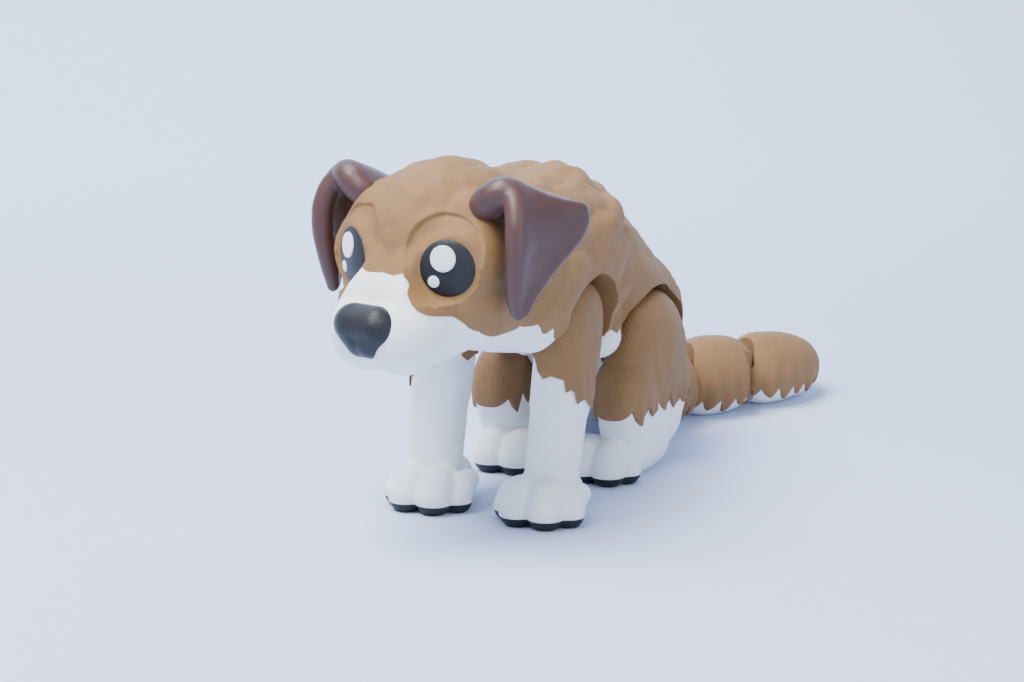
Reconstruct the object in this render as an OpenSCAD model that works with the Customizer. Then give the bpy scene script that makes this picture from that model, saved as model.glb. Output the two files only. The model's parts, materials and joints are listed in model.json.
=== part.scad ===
// Articulated toy puppy, printed in place in several colours of plastic.
// The puppy faces -Y, its left side is +X, and it stands on the plane z = 0.
// The model is turned head to its right and tail to its left, as the toy sits.

/* [Torso] */
// Half the width that the torso's two side-by-side barrels are apart
torso_spread = 2.5; // [1.5:0.25:3.5]
// Radius of the front torso at the chest
chest_r = 19.5; // [18:0.25:21.5]
// Radius of the front torso at the withers
withers_r = 20; // [19:0.25:22]
// Height of the front torso's middle
torso_z = 56.5; // [55:0.5:60]
// Distance from the shoulder axis forward to the chest centre
chest_reach = 8; // [5:0.5:10]
// Distance from the shoulder axis back to the waist axis
waist_back = 25; // [24:0.5:31]
// Radius of the rump's dome inside the front shell
waist_dome_r = 17; // [16:0.1:17.5]
// Thickness of the front shell over the rump's dome
shell_t = 1.5; // [1.2:0.1:2.5]
// Radius of the rump above the hips
rump_r = 16; // [15:0.25:17]
// Distance from the waist axis back to the hip axis
hip_back = 18; // [17:0.5:24]
// Thickness of the torso between the front legs
front_core_w = 18; // [16:0.5:20]
// Thickness of the torso between the rear legs
rear_core_w = 20; // [18:0.5:21]
// Waist swing to each side, in degrees
waist_swing = 12; // [4:1:14]

/* [Head] */
// Radius of the skull seen from above
skull_r = 20; // [18:0.25:21.5]
// Half the height of the skull
skull_h = 19; // [17:0.25:20]
// Distance of the neck axis ahead of the shoulder axis
neck_reach = 27; // [25:0.5:30]
// Height of the neck pivot above the ground
neck_z = 60; // [58:0.5:63]
// Length from the neck axis to the front of the muzzle
muzzle_reach = 31; // [28:0.5:34]
// Radius of the muzzle
muzzle_r = 9; // [8:0.25:10]
// Radius of the nose
nose_r = 5.5; // [4:0.25:6.5]
// Radius of each round eye
eye_r = 6.4; // [5:0.2:6.8]
// Head turned to the puppy's right, in degrees
head_turn = 12.5; // [0:0.5:20]
// Thickness of the ear flaps
ear_t = 5; // [3.5:0.25:6.5]
// Height of the ear fold above the neck pivot
ear_top = 22.5; // [21:0.5:26]

/* [Front legs] */
// Height of the shoulder axis above the ground
shoulder_z = 44; // [42:0.5:47]
// Radius of the rounded shoulder
shoulder_r = 9; // [8:0.25:9.5]
// Thickness of a front leg
foreleg_t = 11.5; // [9:0.25:12.5]
// Radius of the front ankle
ankle_r = 5.6; // [4.5:0.1:7]
// Distance of the front ankle ahead of the shoulder axis
ankle_ahead = 8; // [5:0.5:10]
// Open gap between the shoulder and the shell's arch
arch_gap = 2.2; // [1.5:0.1:2.4]

/* [Rear legs] */
// Height of the hip axis above the ground
hip_z = 27.5; // [25:0.5:30]
// Radius of the thigh's dome
thigh_r = 15.5; // [14:0.25:16.5]
// Thickness of a rear leg
thigh_t = 12.5; // [10:0.25:14]
// Distance of the knee ahead of the hip axis
knee_ahead = 12; // [9:0.5:14]
// Radius of the knee
knee_r = 9.5; // [8:0.25:10.5]
// Open gap between the thigh and the shell's arch
hip_arch_gap = 2.2; // [1.5:0.1:3]

/* [Paws] */
// Radius of a toe
toe_r = 4.4; // [3.5:0.1:5]
// Half the width across a paw's outer toe centres
paw_half = 7.4; // [5.5:0.1:8]
// Half the distance between the small toes of a rear paw
rear_paw_half = 6.4; // [5.5:0.1:8]
// How far a front paw reaches ahead of its ankle
paw_ahead = 1.5; // [-1.5:0.5:3]
// Thickness of the dark sole
sole_t = 2.5; // [1.5:0.25:3.5]

/* [Tail] */
// Radius of the tail segments
tail_r = 10.5; // [9:0.25:12]
// Height of the tail's middle above the ground
tail_z = 10; // [8:0.25:10.5]
// Length of each tail segment but the last
tail_step = 20.5; // [17:0.5:24]
// Length of the last tail segment
tail_end_len = 30.5; // [24:0.5:36]
// Angle of each tail segment against the one before it, in degrees
tail_bends = [8, 22, -2]; // [-20:1:22]
// Height of the white underside of a tail segment
tail_white = 4.5; // [3.5:0.25:4.75]

/* [Joints] */
// Clearance between printed parts that turn on each other
fit_gap = 0.4; // [0.3:0.05:0.5]
// Radius of the shoulder and hip pins
pin_r = 4; // [3:0.25:4.5]
// Radius of the heads that hold the shoulder and hip pins in
pin_head_r = 5.6; // [5:0.1:6]
// Radius of the upright hinge pins in the waist and tail
hinge_pin_r = 2.5; // [2:0.1:3]
// Radius of the eyes around the upright hinge pins
hinge_eye_r = 5.5; // [4.5:0.1:6]
// Radius of the neck link's upright pin
neck_pin_r = 3; // [2.5:0.1:3.5]

/* [Hidden] */
$fn = 48;

tan_fur = [0.60, 0.41, 0.25];
white_fur = [0.93, 0.93, 0.92];
ear_brown = [0.25, 0.14, 0.13];
soft_black = [0.08, 0.08, 0.09];

big = 200;
leg_side_gap = 0.5;

shoulder_y = 0;
neck_y = shoulder_y - neck_reach;
waist_y = shoulder_y + waist_back;
waist_z = torso_z - 5;
hip_y = waist_y + hip_back;
tail_root_y = hip_y + 25;

foreleg_x = front_core_w / 2 + leg_side_gap;
thigh_x = rear_core_w / 2 + leg_side_gap;

// The nod axis runs through the skull a little above the neck pivot
nod_z = neck_z + 3;

// Middle of the whole puppy's outline, which is set over the origin
nose_tip_y = neck_y - (muzzle_reach + 3) * cos(head_turn);
tail_angle = [tail_bends[0], tail_bends[0] + tail_bends[1],
              tail_bends[0] + tail_bends[1] + tail_bends[2]];
function tail_pivot(i) = i == 0 ? [0, tail_root_y]
  : tail_pivot(i - 1) + tail_step * [sin(tail_angle[i - 1]), cos(tail_angle[i - 1])];
tail_tip = tail_pivot(2) + tail_end_len * [sin(tail_angle[2]), cos(tail_angle[2])];
middle = [0.5, (nose_tip_y + tail_tip[1]) / 2, 0];

module set_down() { translate(-middle) children(); }

// Ball at a, ball at b and the cone that joins them, as one turned solid
module limb(a, ra, b, rb, steps = 6) {
  way = b - a;
  reach = norm(way);
  lean = asin((ra - rb) / reach);
  lower = [for (i = [0:steps]) let (t = -90 + (90 + lean) * i / steps)
    [ra * cos(t), ra * sin(t)]];
  upper = [for (i = [0:steps]) let (t = lean + (90 - lean) * i / steps)
    [rb * cos(t), reach + rb * sin(t)]];
  translate(a) rotate([0, acos(way[2] / reach), atan2(way[1], way[0])])
    rotate_extrude() polygon(concat(lower, upper));
}

// Two limbs side by side, for a body that is wider than it is tall
module wide_limb(a, ra, b, rb, spread) {
  for (s = [-1, 1]) limb(a + [s * spread, 0, 0], ra, b + [s * spread, 0, 0], rb);
}

// Outline in the side view (y, z), filled between two values of x
module side_slab(points, x0, x1) {
  translate([x0, 0, 0]) rotate([90, 0, 90]) linear_extrude(x1 - x0) polygon(points);
}

// Bar across the puppy: a cylinder along X between two values of x
module cross_pin(x0, x1, y, z, r) {
  translate([x0, y, z]) rotate([0, 90, 0]) cylinder(h = x1 - x0, r = r);
}

// Points of a fur edge that drops in pointed tufts from a to b
function tufts(a, b, count, drop) = [for (i = [0:2 * count])
  a + (b - a) * i / (2 * count) - [0, i % 2 == 0 ? 0 : drop]];

// Everything below a tufted edge, across the whole width
module below(edge) {
  last = len(edge) - 1;
  side_slab(concat(edge, [[big, edge[last][1]], [big, -big], [-big, -big], [-big, edge[0][1]]]),
            -big, big);
}

module on_side(s) { if (s > 0) children(); else mirror([1, 0, 0]) children(); }

// ---- torso ----

function front_edge() = tufts([-26, torso_z - 9], [14, torso_z - 16], 8, 1.6);
function rear_edge() = tufts([waist_y - 12, waist_z - 16], [hip_y - 12, waist_z - 19], 5, 1.6);

// Room that the head sweeps as it turns and nods
module head_room() {
  translate([0, neck_y - 3.5, neck_z + 4.5]) sphere(r = skull_r + 2);
  translate([0, neck_y - 3, neck_z - 4]) sphere(r = skull_r - 3.5);
}

// Hollow in the front torso that the rump's dome turns in
module waist_hollow(extra) {
  intersection() {
    translate([0, waist_y, waist_z]) sphere(r = waist_dome_r + extra);
    translate([-big, waist_y - 7.2 - 10 * extra, 0]) cube(2 * big);
  }
}

// Opening round a shoulder, with room below for the leg to swing
module shoulder_arch(s) {
  r = shoulder_r + arch_gap;
  on_side(s) {
    cross_pin(front_core_w / 2, big, shoulder_y, shoulder_z, r);
    side_slab([[shoulder_y - r, shoulder_z], [shoulder_y - r - 8, shoulder_z - 14],
               [shoulder_y + r, shoulder_z - 14], [shoulder_y + r, shoulder_z]],
              front_core_w / 2, big);
  }
}

// Blind hole with a wider end that holds a leg's pin
module pin_socket(s, core_w, y, z) {
  on_side(s) {
    cross_pin(core_w / 2 - 3.2, core_w / 2 + 1, y, z, pin_r + fit_gap);
    cross_pin(core_w / 2 - 6.4, core_w / 2 - 3.2, y, z, pin_head_r + fit_gap);
  }
}

// Pin with a wider end, fixed to the inside of a leg
module leg_pin(core_w, y, z) {
  cross_pin(core_w / 2 - 3.2 - fit_gap, core_w / 2 + leg_side_gap + 1, y, z, pin_r);
  cross_pin(core_w / 2 - 6.4 + fit_gap, core_w / 2 - 3.2 - fit_gap, y, z, pin_head_r);
}

// Flat bar with a round eye that turns on an upright pin
module hinge_bar(from_y, to_y, z0, z1, half_w, eye_r, bore_r) {
  difference() {
    union() {
      translate([-half_w, min(from_y, to_y), z0]) cube([2 * half_w, abs(to_y - from_y), z1 - z0]);
      translate([0, to_y, z0]) cylinder(h = z1 - z0, r = eye_r);
    }
    translate([0, to_y, z0 - 1]) cylinder(h = z1 - z0 + 2, r = bore_r);
  }
}

module front_torso() {
  difference() {
    union() {
      difference() {
        union() {
          wide_limb([0, shoulder_y - chest_reach, torso_z], chest_r,
                    [0, waist_y - 13, torso_z - 0.5], withers_r, torso_spread);
          wide_limb([0, waist_y - 13, torso_z - 0.5], withers_r, [0, waist_y, waist_z],
                    waist_dome_r + fit_gap + shell_t, torso_spread);
        }
        waist_hollow(fit_gap);
        rear_rim_cut();
      }
      hinge_bar(waist_y - 14, waist_y, waist_z - 4, waist_z + 4,
                hinge_eye_r - 0.5, hinge_eye_r, hinge_pin_r + fit_gap);
    }
    head_room();
    for (s = [-1, 1]) {
      shoulder_arch(s);
      pin_socket(s, front_core_w, shoulder_y, shoulder_z);
    }
  }
  hinge_bar(neck_y + 16, neck_y, neck_z - 10, neck_z - 4,
            neck_pin_r + 2, neck_pin_r + 3, neck_pin_r + fit_gap);
}

// Space behind the slanted rear rim of the front shell
module rear_rim_cut() {
  top = torso_z + 30;
  low = torso_z - 30;
  side_slab([[waist_y + 2, top], [big, top], [big, low], [waist_y - 17.5, low]], -big, big);
}

module back_shell() {
  color(tan_fur) set_down() difference() { front_torso(); below(front_edge()); }
}

module chest() {
  color(white_fur) set_down() intersection() { front_torso(); below(front_edge()); }
}

// Slot in the rump for the waist bar, flared to let it swing
module waist_slot() {
  h = 4 + fit_gap;
  r = hinge_eye_r + 0.6;
  translate([0, waist_y, waist_z - h]) cylinder(h = 2 * h, r = r);
  translate([0, 0, waist_z - h]) linear_extrude(2 * h)
    polygon([[-r, waist_y], [-r - 3.2, waist_y - 12], [r + 3.2, waist_y - 12], [r, waist_y]]);
}

// Opening round a hip, open below for the whole rear leg
module hip_arch(s) {
  r = thigh_r + hip_arch_gap;
  on_side(s) {
    cross_pin(rear_core_w / 2, big, hip_y, hip_z, r);
    side_slab([[hip_y - r, hip_z], [hip_y - r - 2, -1], [hip_y + r + 2, -1], [hip_y + r, hip_z]],
              rear_core_w / 2, big);
  }
}

// Pocket and upright pin in the rear of a segment that the next one hangs on
module tail_pocket(z0, z1) {
  r = hinge_eye_r + 0.5;
  translate([0, 0, z0 - fit_gap]) {
    difference() {
      cylinder(h = z1 - z0 + 2 * fit_gap, r = r);
      translate([0, 0, -1]) cylinder(h = z1 - z0 + 3, r = hinge_pin_r);
    }
    linear_extrude(z1 - z0 + 2 * fit_gap)
      polygon([[-hinge_pin_r - 2.5, 3.2], [-hinge_pin_r - 11, 14], [hinge_pin_r + 11, 14],
               [hinge_pin_r + 2.5, 3.2]]);
  }
}

tail_bar_z = [5.5, 12];

module rear_torso() {
  difference() {
    union() {
      intersection() {
        union() {
          translate([0, waist_y, waist_z]) sphere(r = waist_dome_r);
          limb([0, waist_y + 0.5, waist_z - 0.3], waist_dome_r - 0.3,
               [0, hip_y + 10, hip_z + 8], rump_r + 0.5);
        }
        translate([-big, waist_y - 7, 0]) cube(2 * big);
      }
      wide_limb([0, waist_y + 5, waist_z - 2], rump_r - 1.5, [0, hip_y + 10, hip_z + 8],
                rump_r, torso_spread + 1);
      wide_limb([0, waist_y + 4.5, waist_z - 9], 11, [0, hip_y - 4, hip_z + 6], 11, 5.5);
      limb([0, hip_y - 2, hip_z + 2], 13, [0, tail_root_y - 8, 12], 11.5);
    }
    waist_slot();
    for (s = [-1, 1]) {
      hip_arch(s);
      pin_socket(s, rear_core_w, hip_y, hip_z);
    }
    translate([0, tail_root_y, 0]) tail_pocket(tail_bar_z[0], tail_bar_z[1]);
    translate([0, tail_root_y, 0]) rear_face_cut();
    translate([-big, -big, -2 * big]) cube(2 * big);
  }
  translate([0, waist_y, waist_z - 6]) cylinder(h = 12, r = hinge_pin_r);
}

// Trims a segment round its hinge so that the next one can swing
module rear_face_cut() {
  difference() {
    translate([-big, -0.01, -1]) cube([2 * big, big, big]);
    translate([0, 0, -2]) cylinder(h = big, r = 7);
  }
}

module rump_shell() {
  color(tan_fur) set_down() difference() { rear_torso(); below(rear_edge()); }
}

module belly() {
  color(white_fur) set_down() intersection() { rear_torso(); below(rear_edge()); }
}

// ---- head ----

// Puts what is drawn round the neck pivot in its place on the turned head
module on_neck() {
  set_down() translate([0, neck_y, neck_z]) rotate([0, 0, -head_turn]) children();
}

module skull() {
  translate([0, -3.5, 5]) rotate_extrude()
    polygon([for (i = [0:12]) let (t = -90 + 15 * i) [skull_r * cos(t), skull_h * sin(t)]]);
}

module neck_cavity() {
  h = nod_z - neck_z;
  intersection() {
    side_slab([[-10.5, h - 17.4], [-7.5, h + 4.6], [7.5, h + 4.6], [7.5, h - 2.5],
               [30, h - 1.5], [30, h - 19], [8, h - 17.4]], -big, big);
    translate([0, 0, -30]) linear_extrude(60)
      polygon([[-6.8, -11], [6.8, -11], [6.8, 2], [16, 20], [16, 30], [-16, 30], [-16, 20],
               [-6.8, 2]]);
  }
  cross_pin(-10.4, 10.4, 0, h, 4 + fit_gap);
  cross_pin(-13.4, 13.4, 0, h, 2.5 + fit_gap);
}

module head_solid() {
  difference() {
    union() {
      skull();
      for (s = [-1, 1]) translate([s * 12, -9.5, 2.5]) sphere(r = 10);
      wide_limb([0, -7, -4], 13.5, [0, muzzle_r - muzzle_reach, -11.5], muzzle_r, 4.2);
    }
    neck_cavity();
    for (s = [-1, 1]) at_eye(s) {
      cylinder(h = 20, r = eye_r);
      intersection() {
        union() {
          translate([0, 0, eye_depth + 0.2]) cylinder(h = 2, r1 = eye_r, r2 = eye_r + 3.5);
          translate([0, 0, eye_depth + 2.19]) cylinder(h = 18, r = eye_r + 3.5);
        }
        translate([-big, -2.5, 0]) cube([2 * big, big, big]);
      }
    }
    nose_ball();
  }
}

// Everything under a line of points at x > 0 and its mirror image, ahead of y
module under_line(half, y) {
  points = concat(half, [[big, -big], [-big, -big]],
                  [for (i = [len(half) - 1:-1:0]) [-half[i][0], half[i][1]]]);
  translate([0, y, 0]) rotate([90, 0, 0]) linear_extrude(2 * big) polygon(points);
}

// The blaze between the eyes, and all below the cheek line
module white_of_head() {
  under_line([[6, 2], [8.5, -3], [12.5, -7.5], [16, -9], [18, -12.5], [big, -16]], -12);
  under_line([[16, -9], [18, -12.5], [big, -16]], big);
}

module head_cap() {
  color(tan_fur) on_neck() difference() { head_solid(); white_of_head(); }
}

module muzzle() {
  color(white_fur) on_neck() intersection() { head_solid(); white_of_head(); }
}

module nose_ball() {
  y = 2 - muzzle_reach;
  limb([-2.2, y, -10.5], nose_r, [2.2, y, -10.5], nose_r);
}

module nose() { color(soft_black) on_neck() nose_ball(); }

eye_at = [12.6, -16.8, 3.2];
eye_turn = 24;
eye_depth = 5;

// Draws what is given at the back of an eye, with +Z out of the head
module at_eye(s) {
  on_side(s) translate(eye_at) rotate([90, 0, eye_turn]) translate([0, 0, -eye_depth]) children();
}

// Two round white spots let into the eye, at the same side of both eyes
module spot(s, small) {
  at_eye(s) translate([(small ? -2.9 : -0.8) * s, small ? -2.9 : 2.1, eye_depth - 1])
    cylinder(h = 1, r = small ? 1.3 : 2.8);
}

module eye(s) {
  color(soft_black) on_neck() difference() {
    at_eye(s) cylinder(h = eye_depth, r = eye_r);
    spot(s, false);
    spot(s, true);
  }
}

module eye_spot(s, small) { color("white") on_neck() spot(s, small); }

module left_eye() { eye(1); }
module right_eye() { eye(-1); }
module left_eye_spot() { eye_spot(1, false); }
module left_eye_small_spot() { eye_spot(1, true); }
module right_eye_spot() { eye_spot(-1, false); }
module right_eye_small_spot() { eye_spot(-1, true); }

module bead(at, r) { translate(at) sphere(r = r, $fn = 24); }

// Ear that rises from the skull, folds over and hangs down to a tip
module ear(s) {
  r = ear_t / 2;
  fold = [21.5, -10, ear_top - r];
  corner = [30, 4, 14];
  color(ear_brown) on_neck() on_side(s) difference() {
    union() {
      hull() { bead([14.5, -11, 14], r); bead([15, 2, 11], r); bead(fold, r); bead(corner, r); }
      hull() {
        bead(fold, r);
        bead(corner, r);
        bead([29, 1, 5], r);
        bead([26.5, -15.5, 10], r);
        bead([25, -12.5, -5], r * 0.9);
      }
    }
    skull();
  }
}

module left_ear() { ear(1); }
module right_ear() { ear(-1); }

// Loose link inside the neck: it turns on the torso's bar and the head nods on it
module neck_link() {
  h = nod_z - neck_z;
  color(white_fur) on_neck() {
    translate([0, 0, -10 - fit_gap - 2.6]) cylinder(h = h + 10 + fit_gap + 2.6, r = neck_pin_r);
    translate([0, 0, -10 - fit_gap - 2.6]) cylinder(h = 2.6, r = neck_pin_r + 1.5);
    translate([0, 0, -4 + fit_gap]) cylinder(h = 3, r = neck_pin_r + 2);
    cross_pin(-10, 10, 0, h, 4);
    cross_pin(-13, 13, 0, h, 2.5);
  }
}

// ---- front legs ----

// Ball on a short upright post, so that its sole is flat
module toe(x, y, r) {
  translate([x, y, r * 0.9]) sphere(r = r);
  translate([x, y, 0]) cylinder(h = r * 0.9, r = r * 0.95);
}

// A paw with two large toes between two smaller ones, its sole flat at z = 0
module paw(x, y, half) {
  intersection() {
    union() {
      limb([x, y + 5, 6], 6, [x, y - 4.5, 5.5], 5.8);
      for (s = [-1, 1]) {
        toe(x + s * toe_r * 0.73, y - 8, toe_r);
        toe(x + s * half, y - 4.2, toe_r * 0.82);
      }
    }
    translate([-big, -big, 0]) cube(2 * big);
  }
}

module foreleg() {
  mid = foreleg_x + foreleg_t / 2;
  intersection() {
    union() {
      translate([mid, shoulder_y, shoulder_z]) sphere(r = shoulder_r);
      limb([mid, shoulder_y - 1, shoulder_z - 4], shoulder_r - 0.8,
           [mid - 0.5, shoulder_y - ankle_ahead, 12], ankle_r);
    }
    translate([foreleg_x, -big, 0]) cube([foreleg_t, 2 * big, big]);
  }
  paw(mid - 1.2, shoulder_y - ankle_ahead - paw_ahead, paw_half);
  leg_pin(front_core_w, shoulder_y, shoulder_z);
}

// Fur line of a front leg, which steps down from its front to its back
function foreleg_edge() = [[shoulder_y - 12, shoulder_z - 10], [shoulder_y - 11, shoulder_z - 12.5],
  [shoulder_y - 8.6, shoulder_z - 13], [shoulder_y - 8, shoulder_z - 15.5],
  [shoulder_y - 4.6, shoulder_z - 16], [shoulder_y - 4, shoulder_z - 18.5],
  [shoulder_y - 1.4, shoulder_z - 18.5], [shoulder_y + 1, shoulder_z - 20.5]];

// The white of a front leg runs up a strip along the inner front edge
module foreleg_white() {
  below(foreleg_edge());
  translate([foreleg_x, shoulder_y - 6, shoulder_z]) rotate([90, 0, 0]) linear_extrude(big)
    polygon([[-big, -big], [-big, 2], [1, 1], [2, -4], [4, -9.5], [6, -11], [big, -11], [big, -big]]);
}

module sole_slice() { translate([-big, -big, -big]) cube([2 * big, 2 * big, big + sole_t]); }

module foreleg_fur(s) {
  color(tan_fur) set_down() on_side(s) difference() { foreleg(); foreleg_white(); }
}

module foreleg_sock(s) {
  color(white_fur) set_down() on_side(s)
    difference() {
      intersection() { foreleg(); foreleg_white(); }
      sole_slice();
    }
}

module foreleg_sole(s) {
  color(soft_black) set_down() on_side(s) intersection() { foreleg(); sole_slice(); }
}

module left_foreleg_fur() { foreleg_fur(1); }
module left_foreleg_sock() { foreleg_sock(1); }
module left_foreleg_sole() { foreleg_sole(1); }
module right_foreleg_fur() { foreleg_fur(-1); }
module right_foreleg_sock() { foreleg_sock(-1); }
module right_foreleg_sole() { foreleg_sole(-1); }

// ---- rear legs ----

module rear_leg() {
  mid = thigh_x + thigh_t / 2;
  toes_y = hip_y - knee_ahead - 1;
  intersection() {
    union() {
      translate([mid, hip_y, hip_z]) sphere(r = thigh_r);
      limb([mid, hip_y - knee_ahead, hip_z - 8], knee_r, [mid, hip_y + 4, hip_z - 10], thigh_r - 3);
      limb([mid - 1, hip_y - knee_ahead + 1, 7], 6.5, [mid - 1, hip_y - 4, 6.5], 6.5);
    }
    translate([thigh_x, -big, 0]) cube([thigh_t, 2 * big, big]);
  }
  paw(mid - 4.7, toes_y, rear_paw_half);
  leg_pin(rear_core_w, hip_y, hip_z);
}

function thigh_edge() = tufts([hip_y - 24, 17.5], [hip_y + 20, 14], 9, 2.6);

// The rear paws have dark soles under the toes only
module rear_sole_slice() {
  intersection() { sole_slice(); translate([-big, -big, -1]) cube([2 * big, big + hip_y - 15, big]); }
}

module thigh_fur(s) {
  color(tan_fur) set_down() on_side(s) difference() { rear_leg(); below(thigh_edge()); }
}

module rear_sock(s) {
  color(white_fur) set_down() on_side(s)
    difference() {
      intersection() { rear_leg(); below(thigh_edge()); }
      rear_sole_slice();
    }
}

module rear_sole(s) {
  color(soft_black) set_down() on_side(s) intersection() { rear_leg(); rear_sole_slice(); }
}

module left_thigh_fur() { thigh_fur(1); }
module left_rear_sock() { rear_sock(1); }
module left_rear_sole() { rear_sole(1); }
module right_thigh_fur() { thigh_fur(-1); }
module right_rear_sock() { rear_sock(-1); }
module right_rear_sole() { rear_sole(-1); }

// ---- tail ----

// Puts a segment drawn from its front pivot along +Y in its place
module on_tail(i) {
  at = tail_pivot(i);
  set_down() translate([at[0], at[1], 0]) rotate([0, 0, -tail_angle[i]]) children();
}

// Barrel with rounded ends, lying along +Y from y0 to y1
module barrel(y0, y1, r, end_r) {
  h = (y1 - y0) / 2;
  n = 2.6;
  translate([0, (y0 + y1) / 2, tail_z]) rotate([-90, 0, 0]) rotate_extrude()
    polygon([for (i = [-8:8]) let (t = i * 90 / 8, c = cos(t), s = sin(t),
                                   w = i > 0 ? r + (end_r - r) * i / 8 : r)
      [w * pow(c, 2 / n), h * sign(s) * pow(abs(s), 2 / n)]]);
}

module tail_segment(i) {
  last = i == 2;
  length = last ? tail_end_len : tail_step;
  clear = 2.8;
  difference() {
    union() {
      intersection() {
        barrel(clear, last ? length : length + 1.5, last ? tail_r * 0.92 : tail_r,
               last ? tail_r * 0.75 : tail_r);
        translate([-big, -big, 0]) cube(2 * big);
      }
      translate([-hinge_pin_r - 1, hinge_eye_r - 1, tail_bar_z[0]])
        cube([2 * hinge_pin_r + 2, 9 - hinge_eye_r, tail_bar_z[1] - tail_bar_z[0]]);
    }
    front_hollow();
    if (!last) translate([0, length, 0]) {
      tail_pocket(tail_bar_z[0], tail_bar_z[1]);
      rear_face_cut();
    }
  }
  hinge_bar(8, 0, tail_bar_z[0], tail_bar_z[1], hinge_pin_r + 0.5, hinge_eye_r,
            hinge_pin_r + fit_gap);
}

// Hollow in a segment's front that clears the rounded end before it
module front_hollow() {
  difference() {
    translate([0, 0, -1]) cylinder(h = big, r = 7 + 0.6);
    translate([-big, -big, tail_bar_z[0]])
      cube([2 * big, 2 * big, tail_bar_z[1] - tail_bar_z[0]]);
  }
}

function tail_edge() = tufts([0, tail_white], [tail_end_len + 6, tail_white + 0.5], 9, 1.8);

module tail_fur(i) {
  color(tan_fur) on_tail(i) difference() { tail_segment(i); below(tail_edge()); }
}

module tail_base(i) {
  color(white_fur) on_tail(i) intersection() { tail_segment(i); below(tail_edge()); }
}

module tail_1_fur() { tail_fur(0); }
module tail_1_base() { tail_base(0); }
module tail_2_fur() { tail_fur(1); }
module tail_2_base() { tail_base(1); }
module tail_3_fur() { tail_fur(2); }
module tail_3_base() { tail_base(2); }

back_shell();
chest();
rump_shell();
belly();
head_cap();
muzzle();
nose();
left_eye();
right_eye();
left_eye_spot();
left_eye_small_spot();
right_eye_spot();
right_eye_small_spot();
left_ear();
right_ear();
neck_link();
left_foreleg_fur();
left_foreleg_sock();
left_foreleg_sole();
right_foreleg_fur();
right_foreleg_sock();
right_foreleg_sole();
left_thigh_fur();
left_rear_sock();
left_rear_sole();
right_thigh_fur();
right_rear_sock();
right_rear_sole();
tail_1_fur();
tail_1_base();
tail_2_fur();
tail_2_base();
tail_3_fur();
tail_3_base();
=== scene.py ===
# Articulated toy puppy, printed in place in tan, white, brown and black plastic.
# It faces -Y with its left side at +X; the head is turned to its right and the tail bends left.
import json
import math
import random

import bmesh
import bpy
import numpy as np
from mathutils import Matrix, Vector, noise


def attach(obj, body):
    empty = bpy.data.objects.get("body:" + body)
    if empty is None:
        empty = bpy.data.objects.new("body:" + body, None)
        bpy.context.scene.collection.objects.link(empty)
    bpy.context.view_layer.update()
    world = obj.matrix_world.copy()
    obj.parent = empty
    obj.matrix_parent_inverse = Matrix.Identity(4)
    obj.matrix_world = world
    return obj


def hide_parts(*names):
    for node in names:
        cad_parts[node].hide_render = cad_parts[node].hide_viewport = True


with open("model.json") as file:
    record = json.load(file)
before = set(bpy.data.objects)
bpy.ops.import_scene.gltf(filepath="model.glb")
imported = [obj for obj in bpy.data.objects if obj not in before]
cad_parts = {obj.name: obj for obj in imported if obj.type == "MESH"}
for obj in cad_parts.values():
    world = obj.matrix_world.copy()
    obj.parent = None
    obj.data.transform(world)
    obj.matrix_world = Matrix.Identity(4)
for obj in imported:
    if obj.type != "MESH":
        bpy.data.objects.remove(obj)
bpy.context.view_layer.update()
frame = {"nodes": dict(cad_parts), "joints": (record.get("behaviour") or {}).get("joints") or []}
joints = {j["name"]: j for j in frame["joints"]}

# ---- table top, camera and light ----
# The puppy stands on a plain pale table that sweeps up into a paler backdrop, in soft
# daylight from above. Its sizes are given in millimetres from the ground between the shoulders.
SHOULDER_Z = 44
ground = Vector(joints["shoulder_left"]["pos_m"]) - Vector((0.010, 0, SHOULDER_Z / 1000))


def at(x, y, z):
    """A point of the toy, in metres, from millimetres measured between the shoulders."""
    return ground + Vector((x, y, z)) / 1000


def new_piece(name, bm):
    """An object made from a bmesh, set in the scene with smooth faces."""
    mesh = bpy.data.meshes.new(name)
    bm.to_mesh(mesh)
    bm.free()
    for face in mesh.polygons:
        face.use_smooth = True
    piece = bpy.data.objects.new(name, mesh)
    bpy.context.scene.collection.objects.link(piece)
    return piece


class Paint:
    """A socket in a material, so that sums of shader values are written as Python sums."""

    def __init__(self, tree, socket=None):
        self.tree, self.socket = tree, socket

    def node(self, kind, settings=None, values=None, out=0):
        """Adds a node: its settings first, then the values or links of its sockets."""
        made = self.tree.nodes.new(kind)
        for key, value in (settings or {}).items():
            setattr(made, key, value)
        for key, value in (values or {}).items():
            if isinstance(value, Paint):
                self.tree.links.new(value.socket, made.inputs[key])
            else:
                made.inputs[key].default_value = value
        return Paint(self.tree, made.outputs[out])

    def sum(self, operation, a, b=0.0):
        return self.node("ShaderNodeMath", {"operation": operation}, {0: a, 1: b})

    def __add__(self, other):
        return self.sum("ADD", self, other)

    __radd__ = __add__

    def __mul__(self, other):
        return self.sum("MULTIPLY", self, other)

    __rmul__ = __mul__


def new_material(name):
    """A material with one principled shader, and a Paint to build its nodes with."""
    material = bpy.data.materials.new(name)
    material.use_nodes = True
    tree = material.node_tree
    tree.nodes.clear()
    shader = tree.nodes.new("ShaderNodeBsdfPrincipled")
    output = tree.nodes.new("ShaderNodeOutputMaterial")
    tree.links.new(shader.outputs[0], output.inputs[0])
    return material, shader, Paint(tree)


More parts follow.
